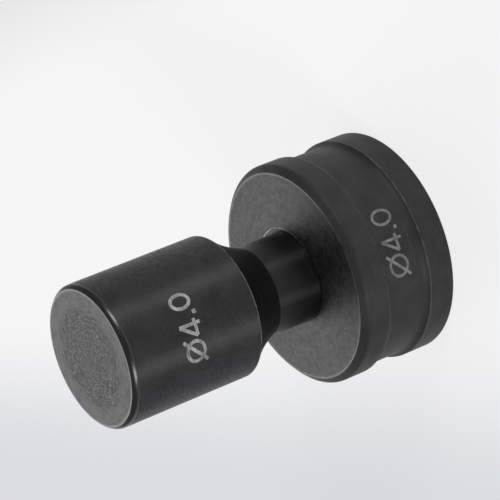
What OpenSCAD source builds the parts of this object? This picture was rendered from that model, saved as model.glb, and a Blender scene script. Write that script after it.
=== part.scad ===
// Punch and die set for making round holes in metal plate.
// The die stands on its back face at z = 0, and the punch stands on the die, nose down in the bore.
// Both are turned about the Z axis. Each half-section is drawn with x as radius and y as height.

/* [Punch head] */
// Diameter of the plain cylindrical head
head_d = 25; // [20:0.5:32]
// Length of the head, from its back face to the cove
head_len = 25.35; // [12:0.05:40]
// Width of the 45 degree chamfer round the back face
head_chamfer = 0.65; // [0.2:0.05:1.5]

/* [Punch neck] */
// Length of the hollow cove between the head and the neck
cove_len = 7.5; // [5:0.05:14]
// Radius of the cove's arc
cove_r = 20; // [12:0.5:40]
// Diameter of the neck where it leaves the cove
neck_d = 15.6; // [12:0.1:18]
// Diameter of the neck at its shoulder, a little larger than at the cove
shoulder_d = 16.1; // [12:0.1:19]
// Length of the neck, from the cove to the shoulder
neck_len = 8.35; // [4:0.05:16]
// Width of the 45 degree edge break round the shoulder
shoulder_chamfer = 0.25; // [0.1:0.05:0.6]

/* [Punch nose] */
// Diameter of the cutting nose, which is the size of the hole
nose_d = 4; // [3:0.1:8]
// Length of the nose, from the shoulder to its cutting edge
nose_len = 8; // [6:0.1:12]
// Fillet at the root of the nose
nose_root_r = 0.25; // [0.1:0.05:0.3]

/* [Die body] */
// Outside diameter of the die
die_d = 39; // [34:0.5:50]
// Height of the die, from its back face to its cutting face
die_h = 19; // [15:0.1:28]
// Width of the chamfer round the cutting face, measured across the face
face_chamfer_w = 1.1; // [0.5:0.1:2.5]
// Height of the chamfer round the cutting face, measured along the side
face_chamfer_h = 1.0; // [0.4:0.1:2]
// Width of the 45 degree edge break round the back face
base_chamfer = 0.1; // [0.1:0.05:0.8]

/* [Die groove] */
// Height of the full-diameter band beside the cutting face, chamfer included
front_band_h = 5.3; // [3:0.1:6]
// Height of the full-diameter band beside the back face, edge break included
rear_band_h = 4.85; // [3:0.05:6]
// Depth of the holding groove between the two bands
groove_depth = 0.75; // [0.3:0.05:1.4]
// Radius of the hollow corners along both sides of the groove
groove_corner_r = 1.6; // [1.5:0.1:1.9]

/* [Die bore] */
// Gap between the nose and the bore, on each side
bore_clearance = 0.3; // [0.3:0.05:0.6]
// Depth of the straight cutting land below the cutting face
land_h = 6; // [4:0.1:9]
// Gap between the bore and the wider slug relief behind it, on each side
relief_step = 1.7; // [1:0.1:3]
// Included angle of the drilled cone between the land and the slug relief
relief_cone_angle = 118; // [90:1:140]

/* [Hidden] */
$fn = 128;

steel_black = "#3a3b3d";
steel_black_die = "#444547";

// Heights on the common axis, from the back face of the die upwards
shoulder_z = die_h;
nose_tip_z = shoulder_z - nose_len;
cove_z = shoulder_z + neck_len;
head_z = cove_z + cove_len;
back_z = head_z + head_len;

// Radii of the punch
head_rad = head_d / 2;
neck_rad = neck_d / 2;
shoulder_rad = shoulder_d / 2;
nose_rad = nose_d / 2;

// Radii and heights of the die
die_rad = die_d / 2;
groove_rad = die_rad - groove_depth;
bore_rad = nose_rad + bore_clearance;
relief_rad = bore_rad + relief_step;
land_z = die_h - land_h;
relief_z = land_z - relief_step / tan(relief_cone_angle / 2);

// Height of the arc from the side of the groove to its flat floor
groove_corner_h = sqrt(groove_corner_r ^ 2 - (groove_corner_r - groove_depth) ^ 2);
groove_floor_bottom_z = rear_band_h + groove_corner_h;
groove_floor_top_z = die_h - front_band_h - groove_corner_h;

// Centre of the arc of radius r through points p and q, on the right of the way from p to q
function arc_centre(p, q, r) =
    let (half = (q - p) / 2, reach = norm(half))
    p + half + sqrt(r ^ 2 - reach ^ 2) * [half.y, -half.x] / reach;

// The cove, as what is turned away between the head and the neck
module cove_cut() {
    intersection() {
        translate([0, cove_z])
            square([head_d, cove_len]);
        translate(arc_centre([neck_rad, cove_z], [head_rad, head_z], cove_r))
            circle(r = cove_r);
    }
}

// The quarter hollow left in the corner where the nose meets the shoulder
module nose_root() {
    difference() {
        translate([0, shoulder_z - nose_root_r])
            square([nose_rad + nose_root_r, nose_root_r]);
        translate([nose_rad + nose_root_r, shoulder_z - nose_root_r])
            circle(r = nose_root_r);
    }
}

module punch_section() {
    difference() {
        polygon([
            [0, nose_tip_z],
            [nose_rad, nose_tip_z],
            [nose_rad, shoulder_z],
            [shoulder_rad - shoulder_chamfer, shoulder_z],
            [shoulder_rad, shoulder_z + shoulder_chamfer],
            [neck_rad, cove_z],
            [head_rad, cove_z],
            [head_rad, back_z - head_chamfer],
            [head_rad - head_chamfer, back_z],
            [0, back_z],
        ]);
        cove_cut();
    }
    nose_root();
}

// One side corner of the groove, its arc ending flush with the band
module groove_corner(z) {
    translate([groove_rad + groove_corner_r, z])
        circle(r = groove_corner_r);
}

module groove_cut() {
    groove_corner(groove_floor_bottom_z);
    groove_corner(groove_floor_top_z);
    translate([groove_rad, groove_floor_bottom_z])
        square([groove_corner_r, groove_floor_top_z - groove_floor_bottom_z]);
}

module die_section() {
    difference() {
        polygon([
            [relief_rad + base_chamfer, 0],
            [die_rad - base_chamfer, 0],
            [die_rad, base_chamfer],
            [die_rad, die_h - face_chamfer_h],
            [die_rad - face_chamfer_w, die_h],
            [bore_rad, die_h],
            [bore_rad, land_z],
            [relief_rad, relief_z],
            [relief_rad, base_chamfer],
        ]);
        groove_cut();
    }
}

// Punch: cylindrical head, hollow cove, flared neck with a flat shoulder, and the cutting nose
module punch() {
    color(steel_black)
        rotate_extrude()
            punch_section();
}

// Die: grooved disc with a chamfered cutting face, a cutting land and a slug relief
module die() {
    color(steel_black_die)
        rotate_extrude()
            die_section();
}

punch();
die();
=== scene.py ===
import math

import bmesh
import bpy
from mathutils import Matrix, Quaternion, Vector


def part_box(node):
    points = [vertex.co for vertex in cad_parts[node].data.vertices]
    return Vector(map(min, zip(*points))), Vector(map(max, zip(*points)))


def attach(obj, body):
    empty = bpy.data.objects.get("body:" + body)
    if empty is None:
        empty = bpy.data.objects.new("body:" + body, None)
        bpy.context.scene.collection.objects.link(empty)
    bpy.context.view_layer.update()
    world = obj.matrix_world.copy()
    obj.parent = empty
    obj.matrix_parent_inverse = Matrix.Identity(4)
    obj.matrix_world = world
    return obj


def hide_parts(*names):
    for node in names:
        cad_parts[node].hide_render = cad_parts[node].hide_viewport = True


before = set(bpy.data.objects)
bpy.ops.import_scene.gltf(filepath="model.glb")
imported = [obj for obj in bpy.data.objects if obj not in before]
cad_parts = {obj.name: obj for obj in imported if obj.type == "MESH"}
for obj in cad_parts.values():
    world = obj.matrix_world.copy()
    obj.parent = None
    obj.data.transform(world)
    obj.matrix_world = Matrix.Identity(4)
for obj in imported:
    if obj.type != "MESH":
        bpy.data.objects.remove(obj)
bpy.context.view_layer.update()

MM = 0.001

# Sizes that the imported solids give
die_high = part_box("die")[1]
punch_low, punch_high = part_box("punch")
DIE_R = die_high.x
FACE_Z = die_high.z
HEAD_R = punch_high.x
BACK_Z = punch_high.z
NOSE_TIP_Z = punch_low.z

# Punch sizes inside that box
HEAD_LEN = 25.35 * MM
HEAD_CHAMFER = 0.65 * MM
COVE_LEN = 7.5 * MM
COVE_R = 20.0 * MM
NECK_R = 7.8 * MM
SHOULDER_R = 8.05 * MM
SHOULDER_CHAMFER = 0.25 * MM
NOSE_R = 2.0 * MM
NOSE_ROOT_R = 0.25 * MM
HEAD_Z = BACK_Z - HEAD_LEN
COVE_Z = HEAD_Z - COVE_LEN

# Die sizes inside its box
FACE_CHAMFER_W = 1.1 * MM
FACE_CHAMFER_H = 1.0 * MM
BASE_CHAMFER = 0.1 * MM
FRONT_BAND_H = 5.3 * MM
REAR_BAND_H = 4.85 * MM
GROOVE_DEPTH = 0.75 * MM
GROOVE_CORNER_R = 1.6 * MM
GROOVE_R = DIE_R - GROOVE_DEPTH
BORE_R = 2.3 * MM
RELIEF_R = 4.0 * MM
LAND_H = 6.0 * MM
RELIEF_CONE_HALF = math.radians(59)
RELIEF_CONE_H = (RELIEF_R - BORE_R) / math.tan(RELIEF_CONE_HALF)

# Worn rounding of the turned edges
EDGE_ROUND = 0.1 * MM
BACK_EDGE_ROUND = 0.36 * MM
DIE_EDGE_ROUND = 0.4 * MM
EDGE_SEGMENTS = 4

# Steps of a turned piece, how near its doubled points lie, and how firmly its flat faces stay flat
SPIN_STEPS = 240
ARC_STEPS = 24
MERGE_REACH = 0.001 * MM
FLAT_WEIGHT = 100

# Material slots of the turned pieces. A face whose normal lies this close to the axis is a flat end
SIDE_SLOT = 0
END_SLOT = 1
NECK_SLOT = 2
COVE_SLOT = 3
EDGE_SLOT = 4
END_FACING = 0.97

# Size marks etched round the head and the groove: how far they stand out and reach in, the layers, slices
# and steps of their strokes, and the place of the first stroke and of the foot of the figures
MARK_PROUD = 0.008 * MM
MARK_SUNK = 0.03 * MM
MARK_LAYER = 0.001 * MM
MARK_SLICE = 0.2 * MM
MARK_RING_STEPS = 64
PUNCH_MARK_START = -7.6 * MM
PUNCH_MARK_Z = 45.7 * MM
PUNCH_MARK_STROKE = 0.58 * MM
DIE_MARK_START = -7.1 * MM
DIE_MARK_Z = 8.05 * MM
DIE_MARK_STROKE = 0.48 * MM

# Figures of the marks, 4 mm high, from the first stroke and the foot. The point is wider than a stroke
SIGN_MIDDLE = (2.1 * MM, 2.0 * MM)
SIGN_HALF_W = 2.0 * MM
SIGN_HALF_H = 1.95 * MM
SIGN_SLASH = 2.1 * MM
FOUR_LEFT = (4.6 * MM, 1.05 * MM)
FOUR_RIGHT = (7.45 * MM, 1.05 * MM)
FOUR_FOOT = (6.65 * MM, 0.0 * MM)
FOUR_TOP = (6.65 * MM, 4.0 * MM)
POINT_X = 8.45 * MM
POINT_STROKES = 1.2
ZERO_MIDDLE = (10.7 * MM, 2.0 * MM)
ZERO_HALF_W = 1.5 * MM
ZERO_HALF_H = 2.0 * MM

# Tool marks: scale of their sway, grain of the fine lines, and spacing and grain of the long scratches
SWAY_SCALE = 350.0
LINE_DETAIL = 3.0
LINE_ROUGHNESS = 0.6
SCRATCH_SPACING = 1.7
SCRATCH_SCALE = 0.6
SCRATCH_DETAIL = 1.0
SCRATCH_LIMITS = (0.66, 0.76)

# Rim wear, partly a painted edge highlight: its grain, how far that grain widens or narrows it, and the
# share of its width that is quite bare
WEAR_HIGHLIGHT_SCALE = 700.0
WEAR_HIGHLIGHT_DETAIL = 4.0
WEAR_HIGHLIGHT_ROUGHNESS = 0.65
WEAR_HIGHLIGHT_LIMITS = (0.35, 0.68)
WEAR_HIGHLIGHT_SWING = 0.9
WEAR_HIGHLIGHT_CORE = 0.1

# Oxide: grain of its clouds and of its specks. Cloudy noise lies about its middle
CLOUD_DETAIL = 5.0
CLOUD_ROUGHNESS = 0.6
CLOUD_LIMITS = (0.3, 0.7)
SPECK_DETAIL = 2.0
SPECK_ROUGHNESS = 0.55
SPECK_LIMITS = (0.62, 0.76)
NOISE_MIDDLE = 0.5

# Turned sides: how far the lines stray, scale of the clouds, and strength of the scratches
SIDE_WANDER = 0.08 * MM
SIDE_CLOUD_SCALE = 260.0
SIDE_SCRATCH = 0.3

# Flat ends: where the rings fade and the border starts, as shares of the rings' reach, how far the clouds
# break the border up, what range of shade goes from dark to pale, and how far the roughness varies
RINGS_FADE = (0.85, 1.15)
BORDER_STARTS = (0.9, 1.15)
BORDER_CLOUDS = (0.3, 1.7)
SHADE_LIMITS = (-0.2, 0.2)
END_ROUGH_SWING = 0.04

# Etched strokes: raster lines of the beam, clouds, range of shade from dim to pale, and roughness
ETCH_PITCH = 0.09 * MM
ETCH_BREAKS = 4.0
ETCH_WANDER = 0.02 * MM
ETCH_CLOUD_SCALE = 500.0
ETCH_LIMITS = (0.8, 1.2)
ETCH_ROUGH = (0.55, 0.7)

# Finishes: colours are linear, lengths in metres, and scales in features per metre
# dark and pale are the two ends of the uneven oxide, under scratched, specked and worn steel; the worn steel
# is partly a painted edge highlight, and the punch's back edge is darkened as painted shade
# line_rough is what a tool mark changes in the roughness, and foot_rough what the neck's foot adds to it
# stretch is how far the tool marks draw highlights out along the axis
# pitch, breaks, wander and relief are the tool marks' spacing, breaks round the axis, straying and depth
# ring_shade and cloud_shade are how strongly rings and clouds shade an end
# ring_reach is how far out the rings go, and outer_relief what is left of them beyond it
# speckle is the strength of the specks, border the bare steel beyond the rings, mottle that in dark patches
# A rim is a worn circle, partly a painted edge highlight, and how wide, how broken and how strong it is
BACK_RIM_INSET = 0.1 * MM
FACE_RIM_INSET = 0.12 * MM
FOOT_RING_GAP = 0.1 * MM
HEAD_RIM = {"radius": HEAD_R, "height": HEAD_Z, "width": 0.16 * MM, "breakup": 0.6, "strength": 1.0}
PUNCH_HEAD = {
    "dark": (0.0075, 0.0075, 0.008, 1),
    "pale": (0.0155, 0.0155, 0.016, 1),
    "scratched": (0.05, 0.05, 0.05, 1),
    "worn_and_highlight": (0.16, 0.16, 0.16, 1),
    "ior": 1.46,
    "rough": 0.44,
    "line_rough": 0.55,
    "stretch": 0.9,
    "pitch": 0.3 * MM,
    "breaks": 12.0,
    "relief": 0.05 * MM,
    "rims": [HEAD_RIM],
}
PUNCH_NECK = {
    "dark": (0.005, 0.005, 0.0052, 1),
    "pale": (0.009, 0.009, 0.0093, 1),
    "scratched": (0.03, 0.03, 0.03, 1),
    "ior": 1.43,
    "rough": 0.31,
    "line_rough": 0.12,
    "foot_rough": -0.09,
    "stretch": 0.9,
    "pitch": 0.45 * MM,
    "breaks": 4.0,
    "relief": 0.003 * MM,
}
PUNCH_COVE = {
    "dark": (0.003, 0.003, 0.0032, 1),
    "pale": (0.006, 0.006, 0.0063, 1),
    "scratched": (0.03, 0.03, 0.03, 1),
    "worn_and_highlight": (0.1, 0.1, 0.1, 1),
    "ior": 1.43,
    "rough": 0.33,
    "line_rough": 0.12,
    "stretch": 0.63,
    "pitch": 0.45 * MM,
    "breaks": 4.0,
    "relief": 0.003 * MM,
    "rims": [HEAD_RIM],
}
# The back edge's oxide is a darker copy of the head's: painted shade on the chamfer ring
PUNCH_EDGE_PAINTED_SHADE = {
    "dark": (0.003, 0.003, 0.0032, 1),
    "pale": (0.006, 0.006, 0.0063, 1),
    "scratched": (0.02, 0.02, 0.02, 1),
    "ior": 1.7,
    "rough": 0.27,
    "line_rough": 0.05,
    "stretch": 0.0,
    "pitch": 0.3 * MM,
    "breaks": 4.0,
    "relief": 0.003 * MM,
}
PUNCH_END = {
    "dark": (0.017, 0.017, 0.0174, 1),
    "pale": (0.014, 0.014, 0.0143, 1),
    "specked": (0.28, 0.28, 0.28, 1),
    "worn_and_highlight": (0.2, 0.2, 0.2, 1),
    "ior": 1.7,
    "rough": 0.55,
    "pitch": 0.22 * MM,
    "breaks": 7.0,
    "wander": 0.4 * MM,
    "relief": 0.05 * MM,
    "ring_shade": 3.2,
    "cloud_shade": 0.6,
    "cloud_scale": 300.0,
    "ring_reach": 8.6 * MM,
    "outer_relief": 0.25,
    "speck_scale": 2300.0,
    "speckle": 0.8,
    "border": 0.2,
    "mottle": 0.75,
    "rims": [
        {
            "radius": HEAD_R - HEAD_CHAMFER - BACK_RIM_INSET,
            "height": BACK_Z,
            "width": 0.4 * MM,
            "breakup": 0.4,
            "strength": 0.9,
        },
    ],
}
DIE_SIDE = {
    "dark": (0.0145, 0.0145, 0.015, 1),
    "pale": (0.0255, 0.0255, 0.026, 1),
    "scratched": (0.05, 0.05, 0.05, 1),
    "worn_and_highlight": (0.12, 0.12, 0.12, 1),
    "ior": 1.38,
    "rough": 0.57,
    "line_rough": 0.15,
    "stretch": 0.4,
    "pitch": 0.45 * MM,
    "breaks": 4.0,
    "relief": 0.004 * MM,
    "rims": [
        {
            "radius": DIE_R,
            "height": FACE_Z - FRONT_BAND_H,
            "width": 0.16 * MM,
            "breakup": 1.0,
            "strength": 0.35,
        },
        {
            "radius": DIE_R,
            "height": REAR_BAND_H,
            "width": 0.2 * MM,
            "breakup": 0.7,
            "strength": 0.5,
        },
    ],
}
# The rubbed ring at the neck's foot is partly a painted highlight: it lies off the axis, so that it runs
# under the shoulder on the near side and shows only on the far side, where the light falls
DIE_END = {
    "dark": (0.01, 0.01, 0.0103, 1),
    "pale": (0.007, 0.007, 0.0073, 1),
    "specked": (0.13, 0.13, 0.13, 1),
    "worn_and_highlight": (0.32, 0.32, 0.32, 1),
    "ior": 1.64,
    "rough": 0.53,
    "pitch": 0.9 * MM,
    "breaks": 3.0,
    "wander": 0.8 * MM,
    "relief": 0.012 * MM,
    "ring_shade": 0.8,
    "cloud_shade": 1.6,
    "cloud_scale": 900.0,
    "ring_reach": 16.0 * MM,
    "outer_relief": 0.6,
    "speck_scale": 2000.0,
    "speckle": 0.9,
    "border": 0.0,
    "mottle": 0.5,
    "rims": [
        {
            "radius": DIE_R - FACE_CHAMFER_W - FACE_RIM_INSET,
            "height": FACE_Z,
            "width": 0.4 * MM,
            "breakup": 0.4,
            "strength": 0.4,
            "centre": (0, -0.12 * MM, 0),
        },
        {
            "radius": SHOULDER_R + FOOT_RING_GAP,
            "height": FACE_Z,
            "width": 0.12 * MM,
            "breakup": 1.1,
            "strength": 1.0,
            "grain_scale": 1800.0,
            "centre": (0.65 * MM, 0.6 * MM, 0),
        },
    ],
}
PUNCH_ETCH_PALE = (0.42, 0.42, 0.42, 1)
PUNCH_ETCH_DIM = (0.13, 0.13, 0.13, 1)
DIE_ETCH_PALE = (0.2, 0.2, 0.2, 1)
DIE_ETCH_DIM = (0.07, 0.07, 0.07, 1)

# Floor: linear colours, and how much of what the camera and reflections see is its own paleness
# The floor's dim and far colours are painted shade of light falling off
FLOOR_HALF = 2.0
FLOOR_BRIGHT = (0.956, 0.956, 0.956, 1)
FLOOR_DIM = (0.735, 0.745, 0.787, 1)
FLOOR_BRIGHT_X = -0.012
FLOOR_DIM_X = -0.05
FLOOR_SLANT = -0.2
FLOOR_FAR_SHADE = (0.65, 0.65, 0.67, 1)
FLOOR_FAR_SHADE_START_X = 0.05
FLOOR_FAR_SHADE_END_X = 0.1
FLOOR_GLOW = 0.8
FLOOR_GRAIN_SCALE = 30.0
FLOOR_ROUGH = (0.85, 0.95)

# Lamps and sky
LAMP_DISTANCE = 1.2
STRIP_W = 0.36
STRIP_H = 0.8
SKY_COLOUR = (1, 1, 1, 1)
SKY_STRENGTH = 0.2

# Camera: the photograph's frame, lens and viewing direction
FRAME_PX = 500
FOCAL_PX = 3000
SENSOR = 36.0
VIEW_ELEVATION = math.radians(30.31)
VIEW_AZIMUTH = math.radians(0.9)
VIEW_ROLL = math.radians(-111.62)
BACK_CENTRE_PX = (90.3, 358.55)
BACK_CENTRE_DEPTH = 0.4855
NEAREST_SEEN = 0.01

# Places of the colour sockets of a Mix node, whose names it uses more than once
MIX_FACTOR = 0
MIX_FIRST = 6
MIX_SECOND = 7
MIX_RESULT = 2


def make_camera():
    """Puts the middle of the punch's back face at its place in the photograph."""
    camera = bpy.data.objects.new("camera", bpy.data.cameras.new("camera"))
    bpy.context.scene.collection.objects.link(camera)
    bpy.context.scene.camera = camera
    camera.data.sensor_width = SENSOR
    camera.data.lens = SENSOR * FOCAL_PX / FRAME_PX
    camera.data.clip_start = NEAREST_SEEN
    turn = Matrix.Rotation(-VIEW_AZIMUTH, 3, "Z")
    turn = turn @ Matrix.Rotation(math.pi / 2 - VIEW_ELEVATION, 3, "X")
    turn = turn @ Matrix.Rotation(VIEW_ROLL, 3, "Z")
    across = (BACK_CENTRE_PX[0] - FRAME_PX / 2) / FOCAL_PX
    down = (BACK_CENTRE_PX[1] - FRAME_PX / 2) / FOCAL_PX
    seen = turn @ (Vector((across, -down, -1)) * BACK_CENTRE_DEPTH)
    place = Vector((0, 0, BACK_Z)) - seen
    camera.matrix_world = Matrix.Translation(place) @ turn.to_4x4()


def finished(bm, name):
    """Makes a mesh object of a bmesh."""
    mesh = bpy.data.meshes.new(name)
    bm.to_mesh(mesh)
    bm.free()
    piece = bpy.data.objects.new(name, mesh)
    bpy.context.scene.collection.objects.link(piece)
    return piece


def line_to(bm, last, x, z):
    """Carries a half-section on from its last point in a straight line."""
    point = bm.verts.new((x, 0, z))
    bm.edges.new((last, point))
    return point


def arc_to(bm, last, centre, angle):
    """Carries a half-section on along an arc about a centre."""
    made = bmesh.ops.spin(
        bm,
        geom=[last],
        cent=(centre[0], 0, centre[1]),
        axis=(0, 1, 0),
        angle=angle,
        steps=ARC_STEPS,
    )
    return [v for v in made["geom_last"] if isinstance(v, bmesh.types.BMVert)][0]


def arc_middle(first, last, radius):
    """Centre of the arc between two points, on the right of the way from the first to the last."""
    first, last = Vector(first), Vector(last)
    half = (last - first) / 2
    reach = half.length
    side = Vector((half.y, -half.x)) / reach
    return first + half + side * math.sqrt(radius**2 - reach**2)


def arc_angle(first, last, centre):
    """Angle about -Y of the short way round a centre from the first point to the last."""
    return (Vector(first) - centre).angle_signed(Vector(last) - centre)


def ease(bm, corners, size):
    """Rounds corners of a half-section."""
    bmesh.ops.bevel(
        bm,
        geom=corners,
        offset=size,
        offset_type="OFFSET",
        segments=EDGE_SEGMENTS,
        profile=0.5,
        affect="VERTICES",
        material=-1,
    )


def turn_section(bm, name):
    """Turns a half-section about Z and gives the finished piece, with its flat ends in their own slot."""
    bmesh.ops.spin(
        bm,
        geom=bm.verts[:] + bm.edges[:],
        cent=(0, 0, 0),
        axis=(0, 0, 1),
        angle=2 * math.pi,
        steps=SPIN_STEPS,
        use_merge=True,
    )
    bmesh.ops.remove_doubles(bm, verts=bm.verts[:], dist=MERGE_REACH)
    bmesh.ops.recalc_face_normals(bm, faces=bm.faces[:])
    for face in bm.faces:
        face.smooth = True
        face.material_index = END_SLOT if abs(face.normal.z) > END_FACING else SIDE_SLOT
    piece = finished(bm, name)
    normals = piece.modifiers.new("flat faces stay flat", "WEIGHTED_NORMAL")
    normals.weight = FLAT_WEIGHT
    return piece


def make_punch():
    """The punch's half-section from the nose tip to the back face, turned, with a slot for each finish."""
    bm = bmesh.new()
    point = bm.verts.new((0, 0, NOSE_TIP_Z))
    point = line_to(bm, point, NOSE_R, NOSE_TIP_Z)
    point = line_to(bm, point, NOSE_R, FACE_Z - NOSE_ROOT_R)
    point = arc_to(bm, point, (NOSE_R + NOSE_ROOT_R, FACE_Z - NOSE_ROOT_R), math.pi / 2)
    point = line_to(bm, point, SHOULDER_R - SHOULDER_CHAMFER, FACE_Z)
    point = line_to(bm, point, SHOULDER_R, FACE_Z + SHOULDER_CHAMFER)
    neck_end = (NECK_R, COVE_Z)
    head_edge = (HEAD_R, HEAD_Z)
    point = line_to(bm, point, *neck_end)
    cove_middle = arc_middle(neck_end, head_edge, COVE_R)
    head_corner = arc_to(bm, point, cove_middle, arc_angle(neck_end, head_edge, cove_middle))
    back_edge = line_to(bm, head_corner, HEAD_R, BACK_Z - HEAD_CHAMFER)
    back_corner = line_to(bm, back_edge, HEAD_R - HEAD_CHAMFER, BACK_Z)
    line_to(bm, back_corner, 0, BACK_Z)
    ease(bm, [head_corner, back_corner], EDGE_ROUND)
    ease(bm, [back_edge], BACK_EDGE_ROUND)
    piece = turn_section(bm, "turned_punch")
    edge_z = BACK_Z - HEAD_CHAMFER - BACK_EDGE_ROUND
    for face in piece.data.polygons:
        if face.center.z < COVE_Z:
            face.material_index = NECK_SLOT
        elif face.center.z < HEAD_Z:
            face.material_index = COVE_SLOT
        elif face.center.z > edge_z and face.material_index == SIDE_SLOT:
            face.material_index = EDGE_SLOT
    return piece


def make_die():
    """The die's half-section from the back face out, up the bands and groove and down the bore, turned."""
    bm = bmesh.new()
    first = bm.verts.new((RELIEF_R + BASE_CHAMFER, 0, 0))
    point = line_to(bm, first, DIE_R - BASE_CHAMFER, 0)
    base_edge = line_to(bm, point, DIE_R, BASE_CHAMFER)
    rear_edge = line_to(bm, base_edge, DIE_R, REAR_BAND_H)
    corner_drop = GROOVE_CORNER_R - GROOVE_DEPTH
    corner_h = math.sqrt(GROOVE_CORNER_R**2 - corner_drop**2)
    corner_x = GROOVE_R + GROOVE_CORNER_R
    sweep = math.atan2(corner_h, corner_drop)
    low_floor_z = REAR_BAND_H + corner_h
    high_floor_z = FACE_Z - FRONT_BAND_H - corner_h
    point = arc_to(bm, rear_edge, (corner_x, low_floor_z), sweep)
    point = line_to(bm, point, GROOVE_R, high_floor_z)
    band_edge = arc_to(bm, point, (corner_x, high_floor_z), sweep)
    front_edge = line_to(bm, band_edge, DIE_R, FACE_Z - FACE_CHAMFER_H)
    face_edge = line_to(bm, front_edge, DIE_R - FACE_CHAMFER_W, FACE_Z)
    point = line_to(bm, face_edge, BORE_R, FACE_Z)
    point = line_to(bm, point, BORE_R, FACE_Z - LAND_H)
    point = line_to(bm, point, RELIEF_R, FACE_Z - LAND_H - RELIEF_CONE_H)
    point = line_to(bm, point, RELIEF_R, BASE_CHAMFER)
    bm.edges.new((point, first))
    ease(bm, [base_edge, rear_edge, band_edge, face_edge], EDGE_ROUND)
    ease(bm, [front_edge], DIE_EDGE_ROUND)
    return turn_section(bm, "turned_die")


def straight_stroke(bm, first, last, width):
    """A straight stroke of a figure: a unit square in slices, stretched and turned to its place."""
    way = Vector(last) - Vector(first)
    slices = max(1, int(way.length / MARK_SLICE))
    made = bmesh.ops.create_grid(bm, x_segments=slices, y_segments=1, size=0.5)
    middle = (Vector(first) + Vector(last)) / 2
    place = Matrix.Translation(middle.to_3d())
    place = place @ Matrix.Rotation(math.atan2(way.y, way.x), 4, "Z")
    place = place @ Matrix.Diagonal((way.length, width, 1, 1))
    bmesh.ops.transform(bm, verts=made["verts"], matrix=place)
    return made["verts"]


def round_stroke(bm, middle, half_w, half_h, width):
    """A closed oval stroke of a figure."""
    outer = bmesh.ops.create_circle(bm, cap_ends=False, segments=MARK_RING_STEPS, radius=1)["verts"]
    place = Matrix.Translation(Vector(middle).to_3d()) @ Matrix.Diagonal((half_w, half_h, 1, 1))
    bmesh.ops.transform(bm, verts=outer, matrix=place)
    outline = [edge for edge in bm.edges if edge.verts[0] in outer]
    grown = bmesh.ops.extrude_edge_only(bm, edges=outline)
    inner = [v for v in grown["geom"] if isinstance(v, bmesh.types.BMVert)]
    bmesh.ops.scale(
        bm,
        vec=(1 - width / half_w, 1 - width / half_h, 1),
        space=Matrix.Translation(-Vector(middle).to_3d()),
        verts=inner,
    )
    return outer + inner


def draw_figures(bm, width):
    """The sign for a diameter, a four, a point and a nought, each stroke on a layer of its own."""
    x, y = SIGN_MIDDLE
    slash_low = (x - SIGN_SLASH, y - SIGN_SLASH)
    slash_high = (x + SIGN_SLASH, y + SIGN_SLASH)
    point_side = POINT_STROKES * width
    strokes = [
        round_stroke(bm, SIGN_MIDDLE, SIGN_HALF_W, SIGN_HALF_H, width),
        straight_stroke(bm, slash_low, slash_high, width),
        straight_stroke(bm, FOUR_FOOT, FOUR_TOP, width),
        straight_stroke(bm, FOUR_LEFT, FOUR_RIGHT, width),
        straight_stroke(bm, FOUR_LEFT, FOUR_TOP, width),
        straight_stroke(bm, (POINT_X, 0), (POINT_X, point_side), point_side),
        round_stroke(bm, ZERO_MIDDLE, ZERO_HALF_W, ZERO_HALF_H, width),
    ]
    for layer, verts in enumerate(strokes):
        bmesh.ops.translate(bm, verts=verts, vec=(0, 0, layer * MARK_LAYER))


def make_mark(name, radius, start, foot_z, width):
    """Draws the size mark flat, wraps it round a cylinder to read from the -Y side, and thickens it."""
    bm = bmesh.new()
    draw_figures(bm, width)
    for v in bm.verts:
        out = radius + MARK_PROUD + v.co.z
        angle = (start + v.co.x) / radius
        v.co = Vector((out * math.sin(angle), -out * math.cos(angle), foot_z + v.co.y))
    bmesh.ops.recalc_face_normals(bm, faces=bm.faces[:])
    for face in bm.faces:
        if face.normal.dot(face.calc_center_median() * Vector((1, 1, 0))) < 0:
            face.normal_flip()
    bmesh.ops.solidify(bm, geom=bm.faces[:], thickness=MARK_PROUD + MARK_SUNK)
    return finished(bm, name)


def feed(tree, socket, value):
    """Links an output to a socket, or sets the socket to a plain value."""
    if isinstance(value, bpy.types.NodeSocket):
        tree.links.new(value, socket)
    else:
        socket.default_value = value


def sum_of(tree, operation, first, second=0.0, third=0.0):
    """One step of arithmetic on values."""
    step = tree.nodes.new("ShaderNodeMath")
    step.operation = operation
    for socket, value in zip(step.inputs, (first, second, third)):
        feed(tree, socket, value)
    return step.outputs[0]


def vector_of(tree, operation, first, second=(0, 0, 0)):
    """One step of arithmetic on vectors."""
    step = tree.nodes.new("ShaderNodeVectorMath")
    step.operation = operation
    feed(tree, step.inputs[0], first)
    feed(tree, step.inputs[1], second)
    return step.outputs["Value" if operation == "LENGTH" else "Vector"]


def joined(tree, x, y, z):
    """A vector from three values."""
    step = tree.nodes.new("ShaderNodeCombineXYZ")
    for socket, value in zip(step.inputs, (x, y, z)):
        feed(tree, socket, value)
    return step.outputs[0]


def split(tree, vector):
    """The three values of a vector, as X, Y and Z."""
    step = tree.nodes.new("ShaderNodeSeparateXYZ")
    feed(tree, step.inputs[0], vector)
    return step.outputs


def off_axis(tree, position):
    """The part of a position that points away from the turning axis."""
    return vector_of(tree, "MULTIPLY", position, (1, 1, 0))


def ramp(tree, value, low, high, to_low=0.0, to_high=1.0):
    """Carries a value smoothly from one range to another and holds it at the ends."""
    step = tree.nodes.new("ShaderNodeMapRange")
    step.interpolation_type = "SMOOTHSTEP"
    for name, given in (
        ("Value", value),
        ("From Min", low),
        ("From Max", high),
        ("To Min", to_low),
        ("To Max", to_high),
    ):
        feed(tree, step.inputs[name], given)
    return step.outputs["Result"]


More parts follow.
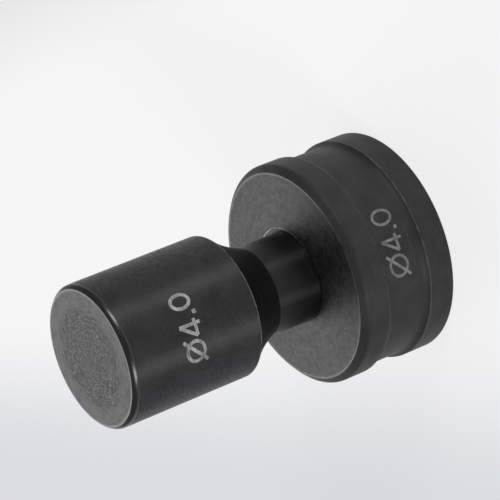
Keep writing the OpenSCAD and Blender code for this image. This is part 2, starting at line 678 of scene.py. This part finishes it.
def grain(tree, vector, scale, detail=2.0, roughness=0.5):
    """Cloudy noise from 0 to 1."""
    step = tree.nodes.new("ShaderNodeTexNoise")
    feed(tree, step.inputs["Vector"], vector)
    feed(tree, step.inputs["Scale"], scale)
    step.inputs["Detail"].default_value = detail
    step.inputs["Roughness"].default_value = roughness
    return step.outputs[0]


def blend(tree, factor, first, second):
    """Mixes two colours."""
    step = tree.nodes.new("ShaderNodeMix")
    step.data_type = "RGBA"
    feed(tree, step.inputs[MIX_FACTOR], factor)
    feed(tree, step.inputs[MIX_FIRST], first)
    feed(tree, step.inputs[MIX_SECOND], second)
    return step.outputs[MIX_RESULT]


def object_position(tree):
    """The place on the piece, in its own coordinates."""
    return tree.nodes.new("ShaderNodeTexCoord").outputs["Object"]


def new_group(name, takes, gives):
    """An empty shader node group with its sockets, and its two end nodes."""
    group = bpy.data.node_groups.new(name, "ShaderNodeTree")
    for socket, kind in takes:
        group.interface.new_socket(socket, in_out="INPUT", socket_type="NodeSocket" + kind)
    for socket, kind in gives:
        group.interface.new_socket(socket, in_out="OUTPUT", socket_type="NodeSocket" + kind)
    return group, group.nodes.new("NodeGroupInput").outputs, group.nodes.new("NodeGroupOutput").inputs


def placed(tree, group, **values):
    """Places a group in a material. An underscore in a name stands for a space."""
    step = tree.nodes.new("ShaderNodeGroup")
    step.node_tree = group
    for name, value in values.items():
        feed(tree, step.inputs[name.replace("_", " ")], value)
    return step.outputs


def turning_group():
    """Tool marks that run round the axis: fine lines as a height, and sparse longer scratches as a mask."""
    group, given, result = new_group(
        "tool marks",
        [
            ("Position", "Vector"),
            ("Across", "Float"),
            ("Pitch", "Float"),
            ("Breaks", "Float"),
            ("Wander", "Float"),
        ],
        [("Height", "Float"), ("Scratch", "Float")],
    )
    around = split(group, vector_of(group, "NORMALIZE", off_axis(group, given["Position"])))
    sway = sum_of(group, "SUBTRACT", grain(group, given["Position"], SWAY_SCALE), NOISE_MIDDLE)
    across = sum_of(group, "MULTIPLY_ADD", sway, given["Wander"], given["Across"])
    line = sum_of(group, "DIVIDE", across, given["Pitch"])
    x = sum_of(group, "MULTIPLY", around["X"], given["Breaks"])
    y = sum_of(group, "MULTIPLY", around["Y"], given["Breaks"])
    fine = grain(group, joined(group, x, y, line), 1.0, LINE_DETAIL, LINE_ROUGHNESS)
    feed(group, result["Height"], fine)
    scratch_line = sum_of(group, "MULTIPLY", line, SCRATCH_SPACING)
    scratches = grain(group, joined(group, x, y, scratch_line), SCRATCH_SCALE, SCRATCH_DETAIL)
    feed(group, result["Scratch"], ramp(group, scratches, *SCRATCH_LIMITS))
    return group


def rim_wear_and_highlight_group():
    """Bare rubbed steel along a turned edge, partly a painted highlight, given by its circle and width,
    broken up by noise.
    """
    group, given, result = new_group(
        "rim wear and highlight",
        [
            ("Position", "Vector"),
            ("Rim Radius", "Float"),
            ("Rim Height", "Float"),
            ("Width", "Float"),
            ("Breakup", "Float"),
            ("Grain", "Float"),
        ],
        [("Wear And Highlight", "Float")],
    )
    radius = vector_of(group, "LENGTH", off_axis(group, given["Position"]))
    out = sum_of(group, "SUBTRACT", radius, given["Rim Radius"])
    up = sum_of(group, "SUBTRACT", split(group, given["Position"])["Z"], given["Rim Height"])
    away = vector_of(group, "LENGTH", joined(group, out, up, 0.0))
    coarse = grain(group, given["Position"], given["Grain"], WEAR_HIGHLIGHT_DETAIL, WEAR_HIGHLIGHT_ROUGHNESS)
    uneven = ramp(group, coarse, *WEAR_HIGHLIGHT_LIMITS, -WEAR_HIGHLIGHT_SWING, WEAR_HIGHLIGHT_SWING)
    share = sum_of(group, "MULTIPLY_ADD", uneven, given["Breakup"], 1.0)
    reach = sum_of(group, "MULTIPLY", given["Width"], share)
    wear_and_highlight = ramp(group, sum_of(group, "DIVIDE", away, reach), WEAR_HIGHLIGHT_CORE, 1.0, 1.0, 0.0)
    feed(group, result["Wear And Highlight"], wear_and_highlight)
    return group


def oxide_group():
    """Uneven blackening: wide clouds as a value, and fine pale specks as a mask."""
    group, given, result = new_group(
        "oxide clouds",
        [("Position", "Vector"), ("Cloud", "Float"), ("Speck", "Float")],
        [("Clouds", "Float"), ("Specks", "Float")],
    )
    clouds = grain(group, given["Position"], given["Cloud"], CLOUD_DETAIL, CLOUD_ROUGHNESS)
    feed(group, result["Clouds"], clouds)
    specks = grain(group, given["Position"], given["Speck"], SPECK_DETAIL, SPECK_ROUGHNESS)
    feed(group, result["Specks"], ramp(group, specks, *SPECK_LIMITS))
    return group


def new_material(name):
    """A material with an empty tree but for its output and the shader that feeds it."""
    material = bpy.data.materials.new(name)
    material.use_nodes = True
    tree = material.node_tree
    tree.nodes.clear()
    output = tree.nodes.new("ShaderNodeOutputMaterial")
    shader = tree.nodes.new("ShaderNodeBsdfPrincipled")
    tree.links.new(shader.outputs["BSDF"], output.inputs["Surface"])
    return material, tree, shader


def rim_wear_and_highlight_on(tree, position, rims, wear_highlight_group):
    """Wear and painted edge highlight along several edges at once. A rim with no centre of its own lies on
    the axis.
    """
    wear_and_highlight = 0.0
    for rim in rims:
        worn_and_highlight = placed(
            tree,
            wear_highlight_group,
            Position=vector_of(tree, "SUBTRACT", position, rim.get("centre", (0, 0, 0))),
            Rim_Radius=rim["radius"],
            Rim_Height=rim["height"],
            Width=rim["width"],
            Breakup=rim["breakup"],
            Grain=rim.get("grain_scale", WEAR_HIGHLIGHT_SCALE),
        )
        share = sum_of(tree, "MULTIPLY", worn_and_highlight["Wear And Highlight"], rim["strength"])
        wear_and_highlight = sum_of(tree, "MAXIMUM", wear_and_highlight, share)
    return wear_and_highlight


def relief_on(tree, shader, height, depth):
    """Feeds a shader's normal from a height of 0 to 1 and a depth in metres."""
    bump = tree.nodes.new("ShaderNodeBump")
    bump.inputs["Strength"].default_value = 1.0
    bump.inputs["Distance"].default_value = depth
    feed(tree, bump.inputs["Height"], height)
    feed(tree, shader.inputs["Normal"], bump.outputs[0])


def turned_side(name, finish, groups):
    """Blackened turned side. The tool marks run round the axis and stretch highlights along it."""
    material, tree, shader = new_material(name)
    where = tree.nodes.new("ShaderNodeTexCoord").outputs
    position = where["Object"]
    height = split(tree, position)["Z"]
    lines = placed(
        tree,
        groups["tool marks"],
        Position=position,
        Across=height,
        Pitch=finish["pitch"],
        Breaks=finish["breaks"],
        Wander=SIDE_WANDER,
    )
    clouds = placed(tree, groups["oxide clouds"], Position=position, Cloud=SIDE_CLOUD_SCALE)["Clouds"]

    colour = blend(tree, ramp(tree, clouds, *CLOUD_LIMITS), finish["dark"], finish["pale"])
    scratch = sum_of(tree, "MULTIPLY", lines["Scratch"], SIDE_SCRATCH)
    colour = blend(tree, scratch, colour, finish["scratched"])
    # Worn rims: rubbed steel that also paints the highlight of a rounded edge
    if "rims" in finish:
        wear_and_highlight = rim_wear_and_highlight_on(tree, position, finish["rims"], groups["rim wear and highlight"])
        colour = blend(tree, wear_and_highlight, colour, finish["worn_and_highlight"])
    feed(tree, shader.inputs["Base Color"], colour)

    line_step = sum_of(tree, "SUBTRACT", lines["Height"], NOISE_MIDDLE)
    rough = sum_of(tree, "MULTIPLY_ADD", line_step, finish["line_rough"], finish["rough"])
    if "foot_rough" in finish:
        foot = ramp(tree, height, FACE_Z, COVE_Z, finish["foot_rough"], 0.0)
        rough = sum_of(tree, "ADD", rough, foot)
    feed(tree, shader.inputs["Roughness"], rough)
    shader.inputs["IOR"].default_value = finish["ior"]
    shader.inputs["Anisotropic"].default_value = finish["stretch"]
    round_axis = vector_of(tree, "CROSS_PRODUCT", (0, 0, 1), position)
    feed(tree, shader.inputs["Tangent"], vector_of(tree, "CROSS_PRODUCT", round_axis, where["Normal"]))
    relief_on(tree, shader, lines["Height"], finish["relief"])
    return material


def faced_end(name, finish, groups):
    """Blackened flat end with the wandering rings that facing leaves, fine specks and a rubbed rim, partly
    painted highlight.
    """
    material, tree, shader = new_material(name)
    position = object_position(tree)
    radius = vector_of(tree, "LENGTH", off_axis(tree, position))
    rings = placed(
        tree,
        groups["tool marks"],
        Position=position,
        Across=radius,
        Pitch=finish["pitch"],
        Breaks=finish["breaks"],
        Wander=finish["wander"],
    )["Height"]
    oxide = placed(
        tree,
        groups["oxide clouds"],
        Position=position,
        Cloud=finish["cloud_scale"],
        Speck=finish["speck_scale"],
    )
    clouds = oxide["Clouds"]
    wear_and_highlight = rim_wear_and_highlight_on(tree, position, finish["rims"], groups["rim wear and highlight"])
    fade_start, fade_end = (share * finish["ring_reach"] for share in RINGS_FADE)
    ringed = ramp(tree, radius, fade_start, fade_end, 1.0, finish["outer_relief"])

    ring_step = sum_of(tree, "SUBTRACT", rings, NOISE_MIDDLE)
    ring_step = sum_of(tree, "MULTIPLY", ring_step, finish["ring_shade"])
    cloud_step = sum_of(tree, "SUBTRACT", clouds, NOISE_MIDDLE)
    cloud_step = sum_of(tree, "MULTIPLY", cloud_step, finish["cloud_shade"])
    shade = sum_of(tree, "MULTIPLY_ADD", ring_step, ringed, cloud_step)
    shade = ramp(tree, shade, *SHADE_LIMITS)
    specks = sum_of(tree, "MULTIPLY", oxide["Specks"], ringed)
    specks = sum_of(tree, "MULTIPLY", specks, finish["speckle"])
    border_start, border_full = (share * finish["ring_reach"] for share in BORDER_STARTS)
    border = ramp(tree, radius, border_start, border_full, 0.0, finish["border"])
    border = sum_of(tree, "MULTIPLY", border, ramp(tree, clouds, *CLOUD_LIMITS, *BORDER_CLOUDS))
    # Rims and border are bare steel; the rims also paint the highlight of a rounded edge
    bare_and_highlight = sum_of(tree, "MAXIMUM", wear_and_highlight, border)
    colour = blend(tree, shade, finish["dark"], finish["pale"])
    colour = blend(tree, specks, colour, finish["specked"])
    feed(tree, shader.inputs["Base Color"], blend(tree, bare_and_highlight, colour, finish["worn_and_highlight"]))

    mottle = sum_of(tree, "MULTIPLY_ADD", shade, -finish["mottle"], finish["mottle"])
    metal = sum_of(tree, "MAXIMUM", mottle, specks)
    feed(tree, shader.inputs["Metallic"], sum_of(tree, "MAXIMUM", metal, bare_and_highlight))
    smoothest = finish["rough"] - END_ROUGH_SWING
    roughest = finish["rough"] + END_ROUGH_SWING
    feed(tree, shader.inputs["Roughness"], ramp(tree, clouds, *CLOUD_LIMITS, smoothest, roughest))
    shader.inputs["IOR"].default_value = finish["ior"]
    relief_on(tree, shader, sum_of(tree, "MULTIPLY", rings, ringed), finish["relief"])
    return material


def etched(name, pale, dim, groups):
    """Laser-etched strokes: dull pale grey, with the raster lines of the beam."""
    material, tree, shader = new_material(name)
    position = object_position(tree)
    lines = placed(
        tree,
        groups["tool marks"],
        Position=position,
        Across=split(tree, position)["Z"],
        Pitch=ETCH_PITCH,
        Breaks=ETCH_BREAKS,
        Wander=ETCH_WANDER,
    )["Height"]
    clouds = placed(tree, groups["oxide clouds"], Position=position, Cloud=ETCH_CLOUD_SCALE)["Clouds"]
    shade = ramp(tree, sum_of(tree, "ADD", lines, clouds), *ETCH_LIMITS)
    feed(tree, shader.inputs["Base Color"], blend(tree, shade, dim, pale))
    feed(tree, shader.inputs["Roughness"], ramp(tree, clouds, *CLOUD_LIMITS, *ETCH_ROUGH))
    return material


def pale_floor():
    """Matt pale floor whose colour falls off towards both sides as painted shade. The camera and reflections
    see it near white.
    """
    material, tree, shader = new_material("pale_floor")
    position = object_position(tree)
    place = split(tree, position)
    along = sum_of(tree, "MULTIPLY_ADD", place["Y"], FLOOR_SLANT, place["X"])
    colour = blend(tree, ramp(tree, along, FLOOR_DIM_X, FLOOR_BRIGHT_X), FLOOR_DIM, FLOOR_BRIGHT)
    far = ramp(tree, place["X"], FLOOR_FAR_SHADE_START_X, FLOOR_FAR_SHADE_END_X)
    colour = blend(tree, far, colour, FLOOR_FAR_SHADE)
    feed(tree, shader.inputs["Base Color"], colour)
    matt = ramp(tree, grain(tree, position, FLOOR_GRAIN_SCALE), 0.0, 1.0, *FLOOR_ROUGH)
    feed(tree, shader.inputs["Roughness"], matt)
    shader.inputs["Specular IOR Level"].default_value = 0.0

    glow = tree.nodes.new("ShaderNodeEmission")
    feed(tree, glow.inputs["Color"], colour)
    ray = tree.nodes.new("ShaderNodeLightPath").outputs
    seen = sum_of(tree, "MAXIMUM", ray["Is Camera Ray"], ray["Is Glossy Ray"])
    seen = sum_of(tree, "MAXIMUM", seen, ray["Is Transmission Ray"])
    both = tree.nodes.new("ShaderNodeMixShader")
    feed(tree, both.inputs[0], sum_of(tree, "MULTIPLY", seen, FLOOR_GLOW))
    tree.links.new(shader.outputs["BSDF"], both.inputs[1])
    tree.links.new(glow.outputs["Emission"], both.inputs[2])
    tree.links.new(both.outputs[0], tree.nodes["Material Output"].inputs["Surface"])
    return material


def make_floor():
    """A plain square floor under the die's back face."""
    bm = bmesh.new()
    bmesh.ops.create_grid(bm, x_segments=1, y_segments=1, size=FLOOR_HALF)
    floor = finished(bm, "floor")
    floor.data.materials.append(pale_floor())


def softbox(name, azimuth, elevation, width, height, radiance, lean=0):
    """A soft lamp that faces the set, with angles in degrees. Azimuth 0 is behind the camera."""
    lamp = bpy.data.lights.new(name, "AREA")
    lamp.shape = "RECTANGLE"
    lamp.size = width
    lamp.size_y = height
    lamp.energy = radiance * math.pi * width * height
    holder = bpy.data.objects.new(name, lamp)
    bpy.context.scene.collection.objects.link(holder)
    way, rise = math.radians(azimuth), math.radians(elevation)
    out = Vector((math.sin(way) * math.cos(rise), -math.cos(way) * math.cos(rise), math.sin(rise)))
    holder.location = Vector((0, 0, BACK_Z / 2)) + out * LAMP_DISTANCE
    turn = out.to_track_quat("Z", "Y") @ Quaternion((0, 0, 1), math.radians(lean))
    holder.rotation_euler = turn.to_euler()


def make_light():
    """A wide box behind the set, a leaning strip on each side of the camera, and a dim even sky."""
    softbox("back_box", azimuth=180, elevation=34, width=1.5, height=1.1, radiance=2.1)
    softbox("left_strip", azimuth=-47, elevation=20, width=STRIP_W, height=STRIP_H, radiance=7.4, lean=12)
    softbox("right_strip", azimuth=44, elevation=20, width=STRIP_W, height=STRIP_H, radiance=6.6, lean=-12)
    world = bpy.data.worlds.new("studio")
    bpy.context.scene.world = world
    world.use_nodes = True
    sky = world.node_tree.nodes["Background"]
    sky.inputs["Color"].default_value = SKY_COLOUR
    sky.inputs["Strength"].default_value = SKY_STRENGTH


make_camera()
make_floor()
make_light()

surface_groups = {
    "tool marks": turning_group(),
    "rim wear and highlight": rim_wear_and_highlight_group(),
    "oxide clouds": oxide_group(),
}

# Each turned piece gets its finishes in the order of its slots
punch = make_punch()
for name, made_by, finish in (
    ("punch_head_oxide", turned_side, PUNCH_HEAD),
    ("punch_end_oxide", faced_end, PUNCH_END),
    ("punch_neck_oxide", turned_side, PUNCH_NECK),
    ("punch_cove_oxide", turned_side, PUNCH_COVE),
    ("punch_edge_oxide_painted_shade", turned_side, PUNCH_EDGE_PAINTED_SHADE),
):
    punch.data.materials.append(made_by(name, finish, surface_groups))
die = make_die()
die.data.materials.append(turned_side("die_side_oxide", DIE_SIDE, surface_groups))
die.data.materials.append(faced_end("die_end_oxide", DIE_END, surface_groups))

punch_mark = make_mark(
    "punch_size_mark", HEAD_R, PUNCH_MARK_START, PUNCH_MARK_Z, PUNCH_MARK_STROKE
)
punch_mark.data.materials.append(etched("punch_etch", PUNCH_ETCH_PALE, PUNCH_ETCH_DIM, surface_groups))
die_mark = make_mark("die_size_mark", GROOVE_R, DIE_MARK_START, DIE_MARK_Z, DIE_MARK_STROKE)
die_mark.data.materials.append(etched("die_etch", DIE_ETCH_PALE, DIE_ETCH_DIM, surface_groups))

for piece, node in ((punch, "punch"), (die, "die")):
    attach(piece, node)
    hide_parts(node)
for piece, body in ((punch_mark, "punch"), (die_mark, "die")):
    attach(piece, body)

bpy.context.scene.view_settings.view_transform = "Standard"
